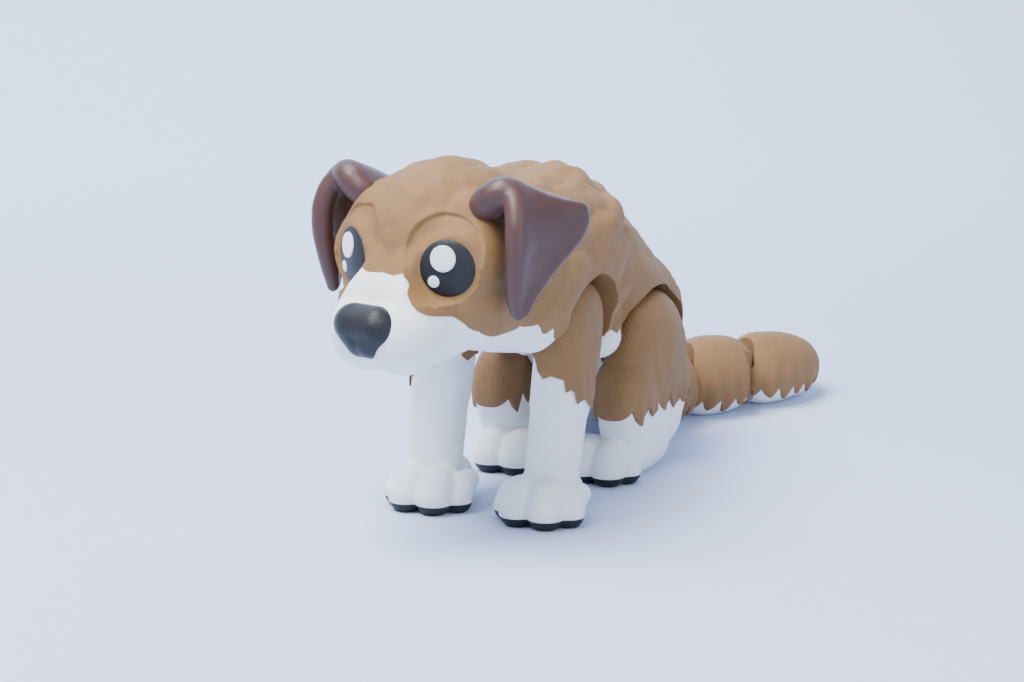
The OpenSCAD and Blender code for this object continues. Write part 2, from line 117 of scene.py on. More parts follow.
camera_data = bpy.data.cameras.new("camera")
camera_data.lens = 85
camera_data.sensor_width = 36
camera_data.clip_start = 0.01
camera = bpy.data.objects.new("camera", camera_data)
bpy.context.scene.collection.objects.link(camera)
turn, rise = math.radians(25.8), math.radians(12)
back = Vector((math.sin(turn) * math.cos(rise), -math.cos(turn) * math.cos(rise), math.sin(rise)))
aim = at(4.2, -7, 39.5)
CAMERA_FAR = 0.546
camera.location = aim + back * CAMERA_FAR
camera.rotation_euler = (-back).to_track_quat("-Z", "Y").to_euler()
bpy.context.scene.camera = camera

bm = bmesh.new()
away = Vector((-math.sin(turn), math.cos(turn), 0))
side = Vector((math.cos(turn), math.sin(turn), 0))
TABLE_REACH, BEND_START, BEND_R, BEND_STEPS = 1.6, 0.10, 0.22, 10
profile = [(-TABLE_REACH, 0), (BEND_START, 0)]
profile += [(BEND_START + BEND_R * math.sin(a), BEND_R - BEND_R * math.cos(a))
            for a in (math.radians(90 / BEND_STEPS * i) for i in range(1, BEND_STEPS + 1))]
profile += [(BEND_START + BEND_R, TABLE_REACH)]
edge = [bm.verts.new(Vector((aim.x, aim.y, 0)) + away * d + Vector((0, 0, h)) - side * TABLE_REACH)
        for d, h in profile]
for a, b in zip(edge, edge[1:]):
    bm.edges.new((a, b))
grown = bmesh.ops.extrude_edge_only(bm, edges=bm.edges[:])
bmesh.ops.translate(bm, vec=side * 2 * TABLE_REACH,
                    verts=[v for v in grown["geom"] if isinstance(v, bmesh.types.BMVert)])
bmesh.ops.recalc_face_normals(bm, faces=bm.faces[:])
table = new_piece("table_top", bm)
material, shader, paint = new_material("pale_paper")
place = paint.node("ShaderNodeTexCoord", out=3)
height = paint.node("ShaderNodeSeparateXYZ", values={0: place}, out=2)
rise_mix = paint.node("ShaderNodeMapRange", {"interpolation_type": "SMOOTHSTEP"},
                      {0: height, 1: 0.0, 2: 0.05, 3: 0.0, 4: 1.0})
shade = paint.node("ShaderNodeMix", {"data_type": "RGBA"},
                   {0: rise_mix, 6: (0.54, 0.62, 0.84, 1), 7: (0.55, 0.69, 0.95, 1)}, out=2)
material.node_tree.links.new(shade.socket, shader.inputs["Base Color"])
shader.inputs["Roughness"].default_value = 0.9
shader.inputs["Specular IOR Level"].default_value = 0.15
table.data.materials.append(material)

world = bpy.data.worlds.new("daylight")
bpy.context.scene.world = world
world.use_nodes = True
world.node_tree.nodes["Background"].inputs[0].default_value = (0.80, 0.88, 1.0, 1)
world.node_tree.nodes["Background"].inputs[1].default_value = 0.85


def soft_light(name, x, y, z, size, power, colour):
    """A square lamp that points at the toy's middle."""
    data = bpy.data.lights.new(name, "AREA")
    data.size, data.energy, data.color = size, power, colour
    lamp = bpy.data.objects.new(name, data)
    lamp.location = at(x, y, z)
    lamp.rotation_euler = (lamp.location - at(0, 20, 30)).to_track_quat("Z", "Y").to_euler()
    bpy.context.scene.collection.objects.link(lamp)


soft_light("key", -150, -230, 640, 0.42, 12.5, (1, 0.985, 0.96))
soft_light("fill", 520, -260, 260, 0.5, 1.6, (0.93, 0.96, 1))

# ---- plastics ----
# Matte tan and white filament, silky brown for the ears and satin black for the eyes, nose
# and soles. Every print shows fine level layers and slight changes of shade where it cooled.
LAYER = 0.00024


def filament(name, dark, light, rough, layers=1.0, grain=0.0, mottle=0.35, shine=0.3):
    """Printed plastic: level layer lines, faint clouds of shade, and fine upright grain."""
    material, shader, paint = new_material(name)
    place = paint.node("ShaderNodeTexCoord", out=3)
    drift = paint.node("ShaderNodeTexNoise", values={"Vector": place, "Scale": 45.0,
                                                     "Detail": 3.0, "Roughness": 0.55})
    fine = paint.node("ShaderNodeTexNoise", values={"Vector": place, "Scale": 420.0,
                                                    "Detail": 2.0, "Roughness": 0.6})
    parts = [paint.node("ShaderNodeSeparateXYZ", values={0: place}, out=i) for i in range(3)]
    level = parts[2] + fine * 0.00005
    lines = paint.sum("SINE", level * (2 * math.pi / LAYER))
    cloud = drift * mottle + fine * 0.22 + lines * 0.05
    shade = paint.node("ShaderNodeMapRange", values={0: cloud, 1: 0.12, 2: 0.48, 3: 0.0, 4: 1.0})
    colour = paint.node("ShaderNodeMix", {"data_type": "RGBA"},
                        {0: shade, 6: (*dark, 1), 7: (*light, 1)}, out=2)
    relief = lines * layers + fine * 0.9 + drift * 1.5
    if grain:
        wander = (parts[1] + parts[0] * 0.6) + drift * 0.006 + fine * 0.0006
        relief = relief + paint.sum("SINE", wander * (2 * math.pi / 0.0010)) * grain
    bump = paint.node("ShaderNodeBump", values={"Strength": 0.5, "Distance": 0.00006,
                                                "Height": relief})
    links = material.node_tree.links
    links.new(colour.socket, shader.inputs["Base Color"])
    links.new((fine * 0.12 + (rough - 0.06)).socket, shader.inputs["Roughness"])
    links.new(bump.socket, shader.inputs["Normal"])
    shader.inputs["Specular IOR Level"].default_value = shine
    return material


tan = filament("tan_filament", (0.190, 0.098, 0.034), (0.268, 0.148, 0.060), 0.64)
tan_leg = filament("tan_filament_grained", (0.188, 0.097, 0.034), (0.266, 0.146, 0.059), 0.62,
                   grain=1.6)
white = filament("white_filament", (0.80, 0.83, 0.86), (0.88, 0.90, 0.92), 0.55, mottle=0.25)
brown = filament("brown_filament", (0.056, 0.023, 0.020), (0.080, 0.036, 0.032), 0.36,
                 layers=0.4, shine=0.42)
black = filament("black_filament", (0.008, 0.009, 0.012), (0.015, 0.017, 0.022), 0.42,
                 layers=0.5)

# ---- front torso ----
# One hollowed shell printed in tan over a white bib. Its rear rim stands proud of the rump,
# which turns inside it, and an arch in each side leaves room for the leg's round shoulder.
GRAIN = 0.45


def chain(bm, a, ra, b, rb, steps=7, half=None, flat=2.8):
    """A row of balls from a to b, in millimetres, that fuse into one limb.

    With half, the balls have flattened sides across X, half that distance from the middle.
    """
    for i in range(steps):
        t = i / max(steps - 1, 1)
        r = ra + (rb - ra) * t
        spot = Vector(a).lerp(Vector(b), t)
        ball = bmesh.ops.create_icosphere(bm, subdivisions=4 if half else 3, radius=1.0)
        for v in ball["verts"]:
            k = 1.0
            if half:
                k = (abs(v.co.x) ** flat + math.hypot(v.co.y, v.co.z) ** flat) ** (-1 / flat)
            v.co = spot + Vector((v.co.x * k * (half or r), v.co.y * k * r, v.co.z * k * r))


def finished(piece):
    """Bakes a piece's modifiers into its mesh."""
    graph = bpy.context.evaluated_depsgraph_get()
    mesh = bpy.data.meshes.new_from_object(piece.evaluated_get(graph))
    piece.modifiers.clear()
    old, piece.data = piece.data, mesh
    bpy.data.meshes.remove(old)
    for face in mesh.polygons:
        face.use_smooth = True
    return piece


def fused(name, bm, grain=GRAIN, soften=14):
    """Balls and limbs run together into one skin, with their creases softened."""
    piece = new_piece(name, bm)
    melt = piece.modifiers.new("melt", "REMESH")
    melt.mode, melt.voxel_size = "VOXEL", grain
    rub = piece.modifiers.new("rub", "SMOOTH")
    rub.factor, rub.iterations = 0.5, soften
    return finished(piece)


def skin(piece):
    """A piece's points and outward directions, as arrays."""
    n = len(piece.data.vertices)
    points, outward = np.empty(n * 3), np.empty(n * 3)
    piece.data.vertices.foreach_get("co", points)
    piece.data.vertex_normals.foreach_get("vector", outward)
    return points.reshape(n, 3), outward.reshape(n, 3)


def press(piece, points):
    """Moves a piece's points."""
    piece.data.vertices.foreach_set("co", points.ravel())
    piece.data.update()


def coat(piece, clump, depth, flow=(1, 1, 1), fringe=None, proud=0.0, where=None):
    """Soft clumps of fur pushed out of the skin, longer along flow, and a fringe of locks.

    clump and depth are in millimetres. fringe(points) gives the height of a lock, 0 to 1.
    """
    points, outward = skin(piece)
    stretch = np.array(flow, float)
    lift = np.empty(len(points))
    for i, p in enumerate(points / clump / stretch):
        near = noise.voronoi(p)[0]
        lift[i] = max(0.0, 1 - near[0] * near[0] * 1.6) + 0.4 * noise.noise(p * 2.3)
    if where is not None:
        lift = lift * where(points)
    lift = lift * depth + proud
    if fringe is not None:
        lift = lift + fringe(points)
    press(piece, points + outward * lift[:, None])
    return piece


def copy_of(piece, name):
    """A separate copy of a piece."""
    twin = bpy.data.objects.new(name, piece.data.copy())
    bpy.context.scene.collection.objects.link(twin)
    return twin


def mirrored(piece):
    """Turns a left piece into the right one."""
    piece.data.transform(Matrix.Diagonal((-1, 1, 1, 1)))
    piece.data.flip_normals()


def tool(build):
    """A cutting shape, drawn by build(bm) in millimetres."""
    bm = bmesh.new()
    build(bm)
    bmesh.ops.recalc_face_normals(bm, faces=bm.faces[:])
    return new_piece("cutting_tool", bm)


def rod(x0, x1, y, z, r, sides=72):
    """A round bar across the toy."""
    return tool(lambda bm: bmesh.ops.create_cone(
        bm, cap_ends=True, segments=sides, radius1=r, radius2=r, depth=x1 - x0,
        matrix=Matrix.Translation(((x0 + x1) / 2, y, z)) @ Matrix.Rotation(math.pi / 2, 4, "Y")))


def post(x, y, z0, z1, r, sides=64):
    """An upright round pin."""
    return tool(lambda bm: bmesh.ops.create_cone(
        bm, cap_ends=True, segments=sides, radius1=r, radius2=r, depth=z1 - z0,
        matrix=Matrix.Translation((x, y, (z0 + z1) / 2))))


def globe(x, y, z, r):
    """A ball."""
    return tool(lambda bm: bmesh.ops.create_icosphere(
        bm, subdivisions=5, radius=r, matrix=Matrix.Translation((x, y, z))))


def prism(outline, low, high, axis="X"):
    """An outline of points pulled out along an axis, between low and high."""
    places = {"X": lambda p: (low, p[0], p[1]), "Y": lambda p: (p[0], low, p[1]),
              "Z": lambda p: (p[0], p[1], low)}[axis]
    pull = {"X": (high - low, 0, 0), "Y": (0, high - low, 0), "Z": (0, 0, high - low)}[axis]

    def build(bm):
        face = bm.faces.new([bm.verts.new(places(p)) for p in outline])
        grown = bmesh.ops.extrude_face_region(bm, geom=[face])
        bmesh.ops.translate(bm, vec=pull,
                            verts=[v for v in grown["geom"] if isinstance(v, bmesh.types.BMVert)])
    return tool(build)


def brick(x0, x1, y0, y1, z0, z1):
    """A box between two corners."""
    return prism([(y0, z0), (y1, z0), (y1, z1), (y0, z1)], x0, x1)


def cut(piece, tools, way="DIFFERENCE"):
    """Takes tools away from a piece, or joins or intersects them, and removes each tool."""
    for t in tools:
        knife = piece.modifiers.new("knife", "BOOLEAN")
        knife.operation, knife.solver, knife.object = way, "MANIFOLD", t
        finished(piece)
        bpy.data.objects.remove(t)
    return piece


def locks(start, end, count, drop, seed):
    """The points of a fur edge: count pointed locks that hang from a line, no two alike."""
    chance = random.Random(seed)
    (y0, z0), (y1, z1) = start, end
    points = []
    for i in range(count):
        wide = 1 + chance.uniform(-0.18, 0.18)
        a, m, b = i / count, (i + 0.5 + chance.uniform(-0.12, 0.12)) / count, (i + 1) / count
        low = drop * wide * chance.uniform(0.75, 1.15)
        for t, d in ((a, 0.0), ((a + m) / 2, low * 0.62), (m, low), ((m + b) / 2, low * 0.5)):
            points.append((y0 + (y1 - y0) * t, z0 + (z1 - z0) * t - d))
    points.append(end)
    return points


def below(edge):
    """All that lies under a fur edge, right through the toy."""
    return prism(list(edge) + [(edge[-1][0] + 200, edge[-1][1]), (edge[-1][0] + 200, -90),
                               (edge[0][0] - 200, -90), (edge[0][0] - 200, edge[0][1])], -90, 90)


def ready(piece, name, material, body, slot, *nodes, turned=None):
    """Puts a finished piece in its place on the toy, in metres, and hands it over."""
    move = (turned or Matrix.Translation(ground)) @ Matrix.Scale(0.001, 4)
    piece.data.transform(move)
    piece.name = name
    piece.data.materials.clear()
    piece.data.materials.append(material)
    for face in piece.data.polygons:
        face.use_smooth = True
    piece.data.set_sharp_from_angle(angle=math.radians(50))
    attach(piece, body)
    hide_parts(*nodes)
    return piece


WAIST_Y, WAIST_Z, NECK_Y, NECK_Z = 25, 51.5, -27, 60
HIP_Y, HIP_Z = 43, 27.5
GAP, PIN_R, PIN_HEAD_R, HINGE_PIN_R, HINGE_EYE_R = 0.4, 4.0, 5.6, 2.5, 5.5


def socket(s, core, y, z):
    """A stepped blind hole that holds the wide head of a leg's pin."""
    inner, outer = sorted((s * (core - 3.2), s * (core + 3)))
    deep, mid = sorted((s * (core - 6.4), s * (core - 3.19)))
    return [rod(inner, outer, y, z, PIN_R + GAP), rod(deep, mid, y, z, PIN_HEAD_R + GAP)]


bm = bmesh.new()
for s in (-1, 1):
    chain(bm, (s * 2.6, -8, 56.5), 19.3, (s * 2.6, 12, 56.2), 20.2)
    chain(bm, (s * 2.6, 11, 56.0), 20.0, (s * 2.6, WAIST_Y - 1, WAIST_Z - 0.5), 18.9)
    chain(bm, (s * 11, -12, 50.5), 9.6, (s * 11, -9.5, 44), 7.0, steps=4)
    chain(bm, (s * 13, 14, 50), 9.5, (s * 12.5, 15.5, 40), 6.5, steps=5)
front = fused("front_torso", bm, soften=22)


def scallops(points):
    """Shallow folds that run back to the rim of the shell."""
    y, z = points[:, 1], points[:, 2]
    near_rim = np.clip((y - 4) / 12, 0, 1) * np.clip((z - 36) / 6, 0, 1)
    return near_rim * (0.6 * np.sin((z - 0.35 * y) * 2 * math.pi / 8.5) + 0.5)


tan_front = coat(copy_of(front, "tan_front"), 7.6, 1.0, (1.0, 1.3, 1.0), scallops, proud=0.15)
white_front = coat(front, 8.5, 0.25, (1.0, 1.4, 1.0))
rim = [(WAIST_Y + 8, 90), (WAIST_Y - 1.4, 72.5), (WAIST_Y - 1.6, 69.8), (WAIST_Y - 4.6, 66.8),
       (WAIST_Y - 5.2, 63.5), (WAIST_Y - 5.4, 60), (WAIST_Y - 8.4, 57), (WAIST_Y - 9.2, 53),
       (WAIST_Y - 9.4, 49), (WAIST_Y - 11.0, 46), (WAIST_Y - 12.6, 42.5), (WAIST_Y - 13.2, 39),
       (WAIST_Y - 15, 36), (WAIST_Y - 17, 20), (140, 20), (140, 90)]
for part in (tan_front, white_front):
    cut(part, [prism(rim, -60, 60)])
    hollow = globe(0, WAIST_Y, WAIST_Z, 17.4)
    cut(hollow, [brick(-60, 60, WAIST_Y - 60, WAIST_Y - 11.2, 0, 120)])
    cut(part, [hollow])
    bar = brick(-5, 5, WAIST_Y - 14, WAIST_Y, 47.5, 55.5)
    cut(bar, [post(0, WAIST_Y, 47.5, 55.5, HINGE_EYE_R)], "UNION")
    cut(bar, [post(0, WAIST_Y, 40, 60, HINGE_PIN_R + GAP)])
    cut(part, [bar], "UNION")
    cut(part, [globe(0, NECK_Y - 3.5, NECK_Z + 4.5, 22), globe(0, NECK_Y - 3, NECK_Z - 4, 16.5)])
    for s in (-1, 1):
        low, high = sorted((s * 9, s * 60))
        cut(part, [rod(low, high, 0, SHOULDER_Z, 11.2, 96),
                   prism([(-11.2, 44), (-19.2, 30), (11.2, 30), (11.2, 44)], low, high)])
        cut(part, socket(s, 9, 0, SHOULDER_Z))
neck_bar = brick(-5, 5, NECK_Y, NECK_Y + 16, 50, 56)
cut(neck_bar, [post(0, NECK_Y, 50, 56, 6)], "UNION")
cut(neck_bar, [post(0, NECK_Y, 40, 60, 3.4)])
bib = [(-34, 52), (-24.5, 49), (-21, 46.2), (-19.5, 47.2), (-17, 44.2), (-15.5, 45.4),
       (-13, 42.4), (-11.5, 43.5), (-9, 41), (-6, 42.2), (-3, 40), (0, 41.4), (3, 39.6),
       (5.5, 41.0), (7.6, 38.6), (9.4, 40.6), (11, 38.4), (12.6, 40.4), (14.5, 37.5), (24, 39)]
cut(tan_front, [below(bib)])
cut(white_front, [below(bib)], "INTERSECT")
cut(white_front, [neck_bar], "UNION")
ready(tan_front, "front_shell", tan, "torso_front", "tan_plastic", "back_shell")
ready(white_front, "bib", white, "torso_front", "white_plastic", "chest")

# ---- rear torso ----
# The rump is a dome in front that turns in the shell, and slopes down to the tail. Its belly
# patch is white, and an arch over each hip shows the thigh's round top.
bm = bmesh.new()
chain(bm, (0, WAIST_Y + 1.5, WAIST_Z - 0.3), 17.0, (0, HIP_Y + 10, HIP_Z + 8), 17.2, steps=9)
chain(bm, (0, WAIST_Y + 9, WAIST_Z - 2.5), 17.8, (0, HIP_Y + 8, HIP_Z + 9.5), 17.4, steps=7)
for s in (-1, 1):
    chain(bm, (s * 3.5, WAIST_Y + 5, WAIST_Z - 2), 14.6, (s * 3.5, HIP_Y + 10, HIP_Z + 8), 16.3)
    chain(bm, (s * 5.6, WAIST_Y + 4.5, WAIST_Z - 9), 11, (s * 5.6, HIP_Y - 4, HIP_Z + 6), 11)
    chain(bm, (s * 12, WAIST_Y - 1.5, 42), 5.5, (s * 12.6, WAIST_Y - 2.6, 36), 5.4, steps=3)
    chain(bm, (s * 11.5, HIP_Y + 15, 31), 7.5, (s * 9, HIP_Y + 17, 14), 8.5, steps=5)
chain(bm, (0, HIP_Y - 2, HIP_Z + 2), 13, (0, 60, 12), 11.8)
rear = fused("rear_torso", bm, soften=22)


def flank(points):
    """Where fur shows on the rump: less of it where the dome runs into the shell."""
    return np.clip((points[:, 1] - WAIST_Y - 2) / 8, 0.25, 1)


tan_rear = coat(copy_of(rear, "tan_rear"), 7.6, 1.0, (1.0, 1.4, 1.0), proud=0.1, where=flank)
white_rear = coat(rear, 8.0, 0.2, (1.0, 1.5, 1.0), where=flank)
belly_edge = [(WAIST_Y - 30, 39), (WAIST_Y - 8.5, 38.2), (WAIST_Y - 7.2, 36.6),
              (WAIST_Y - 5.6, 38.6), (WAIST_Y - 3.6, 37.2), (WAIST_Y - 2.2, 38.2),
              (WAIST_Y + 0.5, 34.5), (WAIST_Y + 3, 36), (WAIST_Y + 6, 32.5), (WAIST_Y + 9, 33.5),
              (WAIST_Y + 30, 30)]


def tail_room(x, y, turned):
    """The pocket with its upright pin, at the rear of a segment, and the swing room."""
    pocket = post(0, 0, 5.1, 12.4, 6.0)
    cut(pocket, [prism([(-5, 3.2), (-13.5, 14), (13.5, 14), (5, 3.2)], 5.1, 12.4, "Z")], "UNION")
    cut(pocket, [post(0, 0, 4, 13, HINGE_PIN_R)])
    face = brick(-60, 60, -0.01, 60, -5, 90)
    cut(face, [post(0, 0, -10, 100, 7)])
    for t in (pocket, face):
        t.data.transform(Matrix.Translation((x, y, 0)) @ Matrix.Rotation(turned, 4, "Z"))
    return [face, pocket]


TAIL_Y = HIP_Y + 25
for part in (tan_rear, white_rear):
    cut(part, [brick(-60, 60, -60, WAIST_Y - 7, 0, 120)])
    slot_room = post(0, WAIST_Y, 47.1, 55.9, 6.1)
    cut(slot_room, [prism([(-6.1, WAIST_Y), (-9.3, WAIST_Y - 12), (9.3, WAIST_Y - 12),
                           (6.1, WAIST_Y)], 47.1, 55.9, "Z")], "UNION")
    cut(part, [slot_room])
    cut(part, [post(0, WAIST_Y, 45.5, 57.5, HINGE_PIN_R)], "UNION")
    for s in (-1, 1):
        low, high = sorted((s * 10, s * 60))
        cut(part, [rod(low, high, HIP_Y, HIP_Z, 17.7, 96),
                   prism([(25.3, 27.5), (23.3, -5), (62.7, -5), (60.7, 27.5)], low, high)])
        cut(part, socket(s, 10, HIP_Y, HIP_Z))
    cut(part, tail_room(0, TAIL_Y, 0))
    cut(part, [brick(-60, 60, -60, 200, -40, 0)])
cut(tan_rear, [below(belly_edge)])
cut(white_rear, [below(belly_edge)], "INTERSECT")
ready(tan_rear, "rump", tan, "torso_rear", "tan_plastic", "rump_shell")
ready(white_rear, "belly_patch", white, "torso_rear", "white_plastic", "belly")

# ---- head ----
# A rounded tan cap over a white muzzle whose blaze runs up between the eyes. Each eye lies in
# a shallow socket under its brow. A hollow under the head takes the neck's loose link.
neck = Vector(joints["neck_turn"]["pos_m"]) - Vector((0, 0, 0.003))
axis = joints["neck_nod"]["axis"]
head_place = Matrix.Translation(neck) @ Matrix.Rotation(math.atan2(axis[1], axis[0]), 4, "Z")
EYE, EYE_TURN, EYE_R, EYE_DOME = Vector((13.3, -18.4, 3.2)), math.radians(23), 6.05, 0.75

bm = bmesh.new()
bmesh.ops.create_icosphere(bm, subdivisions=5, radius=1.0, matrix=Matrix.Translation(
    (0, -1.6, 5)) @ Matrix.Diagonal((19.5, 19.3, 18.1, 1)))
for s in (-1, 1):
    chain(bm, (s * 12, -10.6, 3.5), 10.2, (s * 10.5, -7, 9.5), 9.2, steps=3)
    chain(bm, (s * 4.4, -7, -4), 13.6, (s * 4.4, -22.3, -11.2), 9.0, steps=8)
    chain(bm, (s * 4.6, -10.5, -1.5), 13.2, (s * 4.6, -16, -6), 11.2, steps=4)
    chain(bm, (s * 12, -9, -3), 9.4, (s * 8.5, -13, -7), 8.6, steps=4)
    chain(bm, (s * 11.5, -2, -5.5), 9.0, (s * 11, -7, -6), 9.2, steps=3)
skull = fused("head", bm, soften=20)


def set_eyes(points):
    """Presses a shallow bed for each eye, wider above it, under the brow."""
    for s in (-1, 1):
        out = np.array((s * math.sin(EYE_TURN), -math.cos(EYE_TURN), 0))
        across = np.array((s * math.cos(EYE_TURN), math.sin(EYE_TURN), 0))
        q = points - np.array((s * EYE.x, EYE.y, EYE.z))
        rise, a, b = q @ out, q @ across, q[:, 2]
        far = np.hypot(a, b)
        up, inner = np.clip(b / (far + 0.01), 0, 1), np.clip(-a / (far + 0.01), 0, 1)
        reach = EYE_R + 1.2 + 4.4 * np.clip(up * 0.9 + inner * 0.45, 0, 1)
        edge = np.clip((reach - far) / 1.0, 0, 1)
        ledge = rise - 0.9 * edge * edge * (3 - 2 * edge)
        t = np.clip((far - EYE_R - 0.2) / 2.6, 0, 1)
        floor = np.minimum(rise, -0.15)
        wanted = floor + (ledge - floor) * t * t * (3 - 2 * t)
        near = (rise > -6) & (far < reach)
        points = points + np.where(near, wanted - rise, 0)[:, None] * out
    return points


def crown(points):
    """Fur clumps show on the crown and the back of the head, and fade on the face."""
    return np.clip((points[:, 2] - 6) / 10 + np.clip((points[:, 1] + 8) / 12, 0, 1), 0.06, 1)


tan_head = coat(copy_of(skull, "tan_head"), 8.0, 0.8, proud=0.12, where=crown)
white_head = skull
for part in (tan_head, white_head):
    points, outward = skin(part)
    press(part, set_eyes(points))
    hollow = prism([(-10.5, -14.4), (-7.5, 7.6), (7.5, 7.6), (7.5, 0.5), (30, 1.5), (30, -16),
                    (8, -14.4)], -60, 60)
    cut(hollow, [prism([(-6.8, -11), (6.8, -11), (6.8, 2), (16, 20), (16, 30), (-16, 30),
                        (-16, 20), (-6.8, 2)], -30, 30, "Z")], "INTERSECT")
    cut(part, [hollow])
    cut(part, [rod(-10.4, 10.4, 0, 3, 4.4), rod(-13.4, 13.4, 0, 3, 2.9)])
blaze = [(0, 1.7), (3.6, 1.5), (5.7, 2.2), (6.8, 0.8), (7.9, -0.9), (9.3, -3.2), (10.8, -5.0),
         (12.6, -6.1), (15.2, -6.6), (16.4, -8.4), (17.2, -11.6), (18.6, -14.2), (40, -16)]
blaze = blaze + [(40, -60), (-40, -60)] + [(-x, z) for x, z in reversed(blaze[1:])]
jaw = [(15.4, -8.0), (16.4, -9.6), (17.2, -12), (18.6, -14.2), (40, -16), (40, -60), (-40, -60),
       (-40, -16), (-18.6, -14.2), (-17.2, -12), (-16.4, -9.6), (-15.4, -8.0)]
mask = prism(blaze, -60, -12, "Y")
cut(mask, [prism(jaw, -12.01, 60, "Y")], "UNION")
mask_twin = copy_of(mask, "mask_twin")
cut(tan_head, [mask])
cut(white_head, [mask_twin], "INTERSECT")
ready(tan_head, "head_cap_skin", tan, "head", "tan_plastic", "head_cap", turned=head_place)
ready(white_head, "muzzle_skin", white, "head", "white_plastic", "muzzle", turned=head_place)

# ---- nose ----
# A smooth black nose, wide above and narrow below, let into the tip of the muzzle.
bm = bmesh.new()
for s in (-1, 1):
    chain(bm, (s * 3.7, -28.7, -9.0), 4.4, (s * 1.2, -28.6, -11.8), 4.2, steps=4)
chain(bm, (-3.2, -28.9, -8.9), 4.5, (3.2, -28.9, -8.9), 4.5, steps=5)
snout = fused("nose", bm, 0.3, 18)
ready(snout, "nose_tip", black, "head", "black_plastic", "nose", turned=head_place)

# ---- eyes ----
# Round black discs, faintly domed, each with one large and one small white spot let in
# towards the puppy's right.


def turned_disc(r, top, deep):
    """A disc turned on +Z: domed on top, with a soft edge and a straight wall."""
    bm = bmesh.new()
    line = [(0, top), (r * 0.35, top * 0.9), (r * 0.65, top * 0.6), (r * 0.88, top * 0.22),
            (r * 0.97, 0.0), (r, -0.16), (r, -deep), (0, -deep)]
    verts = [bm.verts.new((x, 0, z)) for x, z in line]
    for a, b in zip(verts, verts[1:]):
        bm.edges.new((a, b))
    bmesh.ops.spin(bm, geom=bm.verts[:] + bm.edges[:], cent=(0, 0, 0), axis=(0, 0, 1),
                   angle=2 * math.pi, steps=96, use_merge=True)
    bmesh.ops.remove_doubles(bm, verts=bm.verts[:], dist=0.0005)
    bmesh.ops.recalc_face_normals(bm, faces=bm.faces[:])
    return new_piece("disc", bm)


for s, name in ((1, "left_eye"), (-1, "right_eye")):
    eye_place = (head_place @ Matrix.Scale(0.001, 4) @ Matrix.Translation((s * EYE.x, EYE.y, EYE.z))
                 @ Matrix.Rotation(s * EYE_TURN, 4, "Z") @ Matrix.Rotation(math.pi / 2, 4, "X"))
    eye_place = eye_place @ Matrix.Scale(1000, 4)
    disc = turned_disc(EYE_R, EYE_DOME, 4.8)
    ready(disc, name + "_disc", black, "head", "black_plastic", name, turned=eye_place)
    for part, x, y, r in (("_spot", -0.8, 2.1, 2.8), ("_small_spot", -2.9, -2.9, 1.3)):
        dot = turned_disc(r, 0.16, 0.9)
        sink = EYE_DOME * (1 - (math.hypot(x, y) / EYE_R) ** 2) + 0.12
        tip = (Matrix.Translation((x / 1000, y / 1000, sink / 1000))
               @ Matrix.Rotation(-y * 0.035, 4, "X") @ Matrix.Rotation(x * 0.035, 4, "Y"))
        ready(dot, name + part + "_dot", white, "head", "white_plastic", name + part,
              turned=eye_place @ tip)

# ---- ears ----
# Silky brown flaps. Each rises from the skull, folds over and hangs to a tip, with a thick
# rolled front edge, a sagging top edge and a shallow dished flap behind.


def through(points, t):
    """The place t, from 0 to 1, on a curve through evenly spaced points."""
    last = len(points) - 1
    total = points[0] * 0
    for i, p in enumerate(points):
        share = 1.0
        for j in range(last + 1):
            if j != i:
                share *= (t * last - j) / (i - j)
        total = total + p * share
    return total


def patch(bm, rows, radii, across=26, down=30):
    """Balls laid on a soft sheet that runs through rows of points."""
    rows = [[Vector(p) for p in row] for row in rows]
    for i in range(across):
        u = i / (across - 1)
        column = [through(row, u) for row in rows]
        thick = [through(row, u) for row in radii]
        for k in range(down):
            v = k / (down - 1)
            bmesh.ops.create_icosphere(bm, subdivisions=2, radius=through(thick, v),
                                       matrix=Matrix.Translation(through(column, v)))


fold = [(23.0, -9.2, 19.0), (26.8, -3.6, 17.0), (30.2, 4.8, 14.4)]
bm = bmesh.new()
patch(bm, [fold, [(27.0, -12.2, 12.2), (28.6, -5.5, 10.4), (29.7, 4.0, 8.8)],
           [(26.7, -12.4, 3.2), (27.4, -8.4, 2.4), (28.4, -3.0, 2.4)],
           [(26.0, -10.8, -6.2), (26.3, -10.2, -6.0), (26.7, -9.4, -5.6)]],
      [[3.0, 1.7, 1.9], [2.5, 1.2, 1.7], [2.3, 1.2, 1.5], [1.5, 1.4, 1.4]])
patch(bm, [[(16.6, -9.8, 15.4), (16, -4, 16.0), (15, 3, 12.8)],
           [(20.0, -10.6, 18.2), (21.4, -4, 17.8), (22.5, 4, 14.2)], fold],
      [[3.6, 2.2, 2.0], [3.7, 2.0, 2.0], [3.0, 1.7, 1.9]], 24, 14)
ear = coat(fused("ear", bm, 0.4, 12), 10, 0.3)
for s, name in ((1, "left_ear"), (-1, "right_ear")):
    flap = copy_of(ear, name)
    if s < 0:
        mirrored(flap)
    ready(flap, name + "_flap", brown, "head", "brown_plastic", name, turned=head_place)
bpy.data.objects.remove(ear)

# ---- neck link ----
# The loose white pin inside the neck: it turns on the torso's bar and the head nods on it.
link = frame["nodes"]["neck_link"]
link.data.materials.clear()
link.data.materials.append(white)

# ---- front legs ----
# A round shoulder on a hidden pin, a straight leg that leans forward, and a paw with two
# large toes between two small ones. Tan fur ends in steps over a white sock; the sole is black.
SOLE_TOP, REAR_SOLE_BACK = 2.3, 15.2


def toe(bm, x, y, r):
    """One toe, with its front ball at (x, y) and its knuckle behind and above."""
    chain(bm, (x, y, r * 0.8), r, (x, y + 1.6, r * 1.5), r * 0.9, steps=4)
    chain(bm, (x, y + 1.6, r * 1.5), r * 0.9, (x, y + 5.5, r * 1.65), r * 0.75, steps=4)


